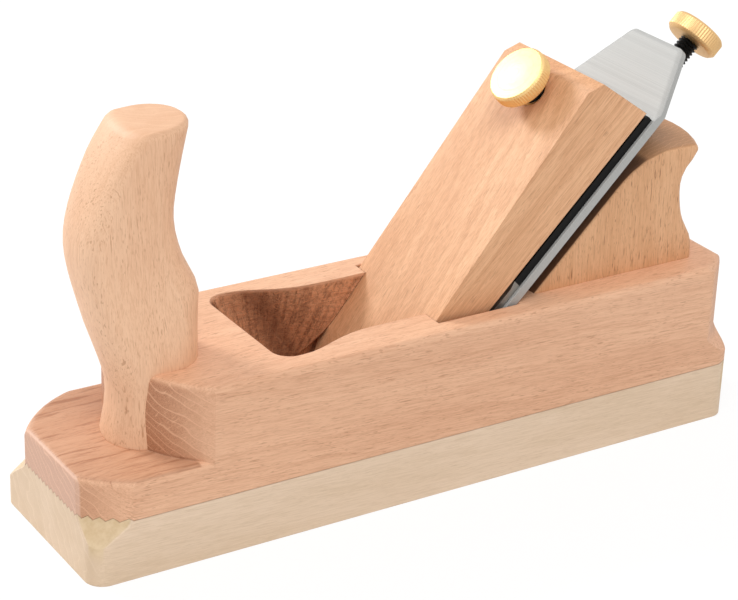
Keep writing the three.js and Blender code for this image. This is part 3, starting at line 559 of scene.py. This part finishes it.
def spread_foot(point):
    """The horn's foot spreads toward the plane's left side below the hand."""
    half_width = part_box("horn")[1][1]
    low = 1 - ease(point.z, STOCK_TOP, STOCK_TOP + 36 * MM)
    share = low * ease(point.y, -half_width, half_width / 3)
    return point + share * Vector((1.4 * MM, 3.2 * MM, 0))


def turned_mesh(name, axis, start, profile, radius_at, around):
    """A closed skin of rings about an axis, one for each station of the profile. A station starts
    with its height, and radius_at gives the radius at a turn and a station."""
    first = Vector((0, 1, 0))
    second = axis.cross(first)
    work = bmesh.new()
    rings = []
    for station in profile:
        ring = []
        for i in range(around):
            turn = 2 * math.pi * i / around
            spoke = math.cos(turn) * first + math.sin(turn) * second
            ring.append(work.verts.new(start + station[0] * axis + radius_at(turn, station) * spoke))
        rings.append(ring)
    for low, high in zip(rings, rings[1:]):
        for i in range(around):
            j = (i + 1) % around
            work.faces.new((low[i], low[j], high[j], high[i]))
    work.faces.new(rings[0][::-1])
    work.faces.new(rings[-1])
    bmesh.ops.recalc_face_normals(work, faces=work.faces)
    for face in work.faces:
        face.smooth = len(face.verts) == 4
    for line in work.edges:
        line.smooth = line.calc_face_angle(0.0) < SHARP_TURNED
    mesh = bpy.data.meshes.new(name)
    work.to_mesh(mesh)
    work.free()
    return mesh


def on_axis(node, axis):
    """The point of a node's axis at its lower end, and its length and radius."""
    low, high = along(node, axis)
    middle = centre(node)
    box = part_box(node)
    return middle + (low - middle @ axis) * axis, high - low, (box[1][1] - box[0][1]) / 2


def zigzag(turns):
    """Falls from 1 to 0 and rises again once in each turn."""
    return abs(2 * (turns % 1) - 1)


def knurled_knob(node, axis, teeth):
    """A brass knob with a straight-knurled rim, chamfered edges and a faintly crowned face."""
    start, thick, outer = on_axis(node, axis)
    points_per_tooth = 6
    tooth = 0.18 * MM
    neck = 4.6 * MM
    crown = 0.55 * MM
    rim_top = thick - crown
    # each station: height, radius, and how deep the knurling is there
    profile = [
        (0.0, neck, 0),
        (0.0, outer - 1.3 * MM, 0),
        (0.12 * MM, outer - 1.0 * MM, 0),
        (0.9 * MM, outer - 0.25 * MM, 0.3),
        (1.15 * MM, outer, 1),
        (rim_top - 0.8 * MM, outer, 1),
        (rim_top - 0.55 * MM, outer - 0.2 * MM, 0.5),
        (rim_top - 0.1 * MM, outer - 0.65 * MM, 0),
    ]
    dome_radius = outer - 0.75 * MM
    dome_rings = 9
    for i in range(dome_rings):
        share = 1 - i / (dome_rings - 0.6)
        profile.append((thick - crown * share * share, dome_radius * share, 0))

    def radius_at(turn, station):
        return station[1] - tooth * station[2] * zigzag(teeth * turn / (2 * math.pi))

    mesh = turned_mesh(node + "_fine", axis, start, profile, radius_at, points_per_tooth * teeth)
    return stand_in(node, mesh)


def threaded_rod(node, axis, depth, tip=None):
    """A rod with a helical thread. It has chamfered ends, or a plain tip of a radius at its lower end."""
    start, length, outer = on_axis(node, axis)
    tip_length = 3 * MM
    around = 28
    steps_per_pitch = 8
    steps = round(length / THREAD_PITCH * steps_per_pitch)
    profile = [(length * i / steps,) for i in range(steps + 1)]

    def radius_at(turn, station):
        height = station[0]
        wave = zigzag(height / THREAD_PITCH - turn / (2 * math.pi))
        groove = depth * min(1.0, max(0.0, 1.3 * wave - 0.15))
        if tip is None:
            limit = outer - depth + min(height, length - height)
        else:
            limit = tip + max(0.0, height - tip_length)
        return min(outer - groove, limit)

    mesh = turned_mesh(node + "_fine", axis, start, profile, radius_at, around)
    return stand_in(node, mesh)


softened("stock", 0.35 * MM)
softened("sole", 0.4 * MM)
softened("horn", reshape=spread_foot)
softened("heel_block")
softened("lever_cap", 0.7 * MM, segments=3)
softened("iron", 0.12 * MM)
knurled_knob("clamp_knob", BED_OUT, teeth=66)
knurled_knob("adjuster_knob", BED_UP, teeth=60)
threaded_rod("adjuster_rod", BED_UP, depth=0.6 * MM)
threaded_rod("clamp_screw", BED_OUT, depth=0.65 * MM, tip=2.8 * MM)


# ---------------------------------------------------------------- stage, light and camera

FLOOR_GLOW = 1.08                    # keeps the floor white to the camera
FLOOR_GLOW_SHARE = 0.75              # the rest of what the camera sees of it is lit, so a shadow shows
LIGHT_ALL_ROUND = 0.57
WHITE_BEHIND = 1.0


def backdrop():
    """Pale floor that keeps the plane's shadow, near white to the camera."""
    work = bmesh.new()
    bmesh.ops.create_grid(work, x_segments=8, y_segments=8, size=3)
    mesh = bpy.data.meshes.new("floor")
    work.to_mesh(mesh)
    work.free()
    floor = bpy.data.objects.new("floor", mesh)
    bpy.context.scene.collection.objects.link(floor)
    floor.location.z = CAD_BOX[0][2]
    t = Tree("floor_white")
    t.shader.inputs["Base Color"].default_value = (0.9, 0.9, 0.9, 1)
    t.shader.inputs["Roughness"].default_value = 0.8
    glow = t.node("ShaderNodeEmission")
    share = t.node("ShaderNodeMixShader")
    path = t.node("ShaderNodeLightPath")
    glow.inputs["Strength"].default_value = FLOOR_GLOW
    t.link(t.product(path.outputs["Is Camera Ray"], FLOOR_GLOW_SHARE), share.inputs[0])
    t.link(t.shader.outputs[0], share.inputs[1])
    t.link(glow.outputs[0], share.inputs[2])
    t.link(share.outputs[0], t.output.inputs["Surface"])
    mesh.materials.append(t.material)


def surroundings():
    """Even white light all round, and plain white behind the plane for the camera and in gloss."""
    world = bpy.data.worlds.new("studio")
    bpy.context.scene.world = world
    world.use_nodes = True
    tree = world.node_tree
    tree.nodes.clear()
    output = tree.nodes.new("ShaderNodeOutputWorld")
    either = tree.nodes.new("ShaderNodeMixShader")
    for socket, strength in zip(either.inputs[1:], (LIGHT_ALL_ROUND, WHITE_BEHIND)):
        white = tree.nodes.new("ShaderNodeBackground")
        white.inputs["Color"].default_value = (1, 1, 1, 1)
        white.inputs["Strength"].default_value = strength
        tree.links.new(white.outputs[0], socket)
    path = tree.nodes.new("ShaderNodeLightPath")
    seen = tree.nodes.new("ShaderNodeMath")
    seen.operation = "MAXIMUM"
    tree.links.new(path.outputs["Is Camera Ray"], seen.inputs[0])
    tree.links.new(path.outputs["Is Glossy Ray"], seen.inputs[1])
    tree.links.new(seen.outputs[0], either.inputs[0])
    tree.links.new(either.outputs[0], output.inputs["Surface"])


def area_light(name, direction, distance, size, power):
    """A round soft light that shines at the plane from a direction."""
    target = Vector((0, 0, 50 * MM))
    place = target + Vector(direction).normalized() * distance
    data = bpy.data.lights.new(name, "AREA")
    data.shape = "DISK"
    data.size = size
    data.energy = power
    lamp = bpy.data.objects.new(name, data)
    bpy.context.scene.collection.objects.link(lamp)
    lamp.location = place
    lamp.rotation_euler = (target - place).to_track_quat("-Z", "Y").to_euler()


backdrop()
surroundings()
area_light("far_softbox", (0.36, -0.77, 0.52), distance=1.6, size=0.5, power=13)
area_light("near_softbox", (0.15, 0.4, 0.9), distance=1.9, size=1.2, power=12.5)


def camera():
    """The camera, fitted to the stock's edges in the photograph: its turn about the plane, its rise,
    its roll, its distance and how far it is moved sideways and up."""
    turn = math.radians(147.349)
    rise = math.radians(24.747)
    roll = math.radians(2.103)
    distance = 774 * MM
    moved_right = -5.83 * MM
    moved_up = 50.14 * MM
    back = Vector((math.sin(turn) * math.cos(rise), -math.cos(turn) * math.cos(rise), math.sin(rise)))
    right = Vector((math.cos(turn), math.sin(turn), 0))
    up = back.cross(right)
    right_rolled = right * math.cos(roll) + up * math.sin(roll)
    up_rolled = up * math.cos(roll) - right * math.sin(roll)
    data = bpy.data.cameras.new("camera")
    data.sensor_width = 36
    data.lens = 114.49
    data.clip_end = 20
    made = bpy.data.objects.new("camera", data)
    bpy.context.scene.collection.objects.link(made)
    basis = Matrix((right_rolled, up_rolled, back)).transposed().to_4x4()
    basis.translation = back * distance + right * moved_right + up * moved_up
    made.matrix_world = basis
    bpy.context.scene.camera = made


camera()
bpy.context.scene.view_settings.view_transform = "Standard"
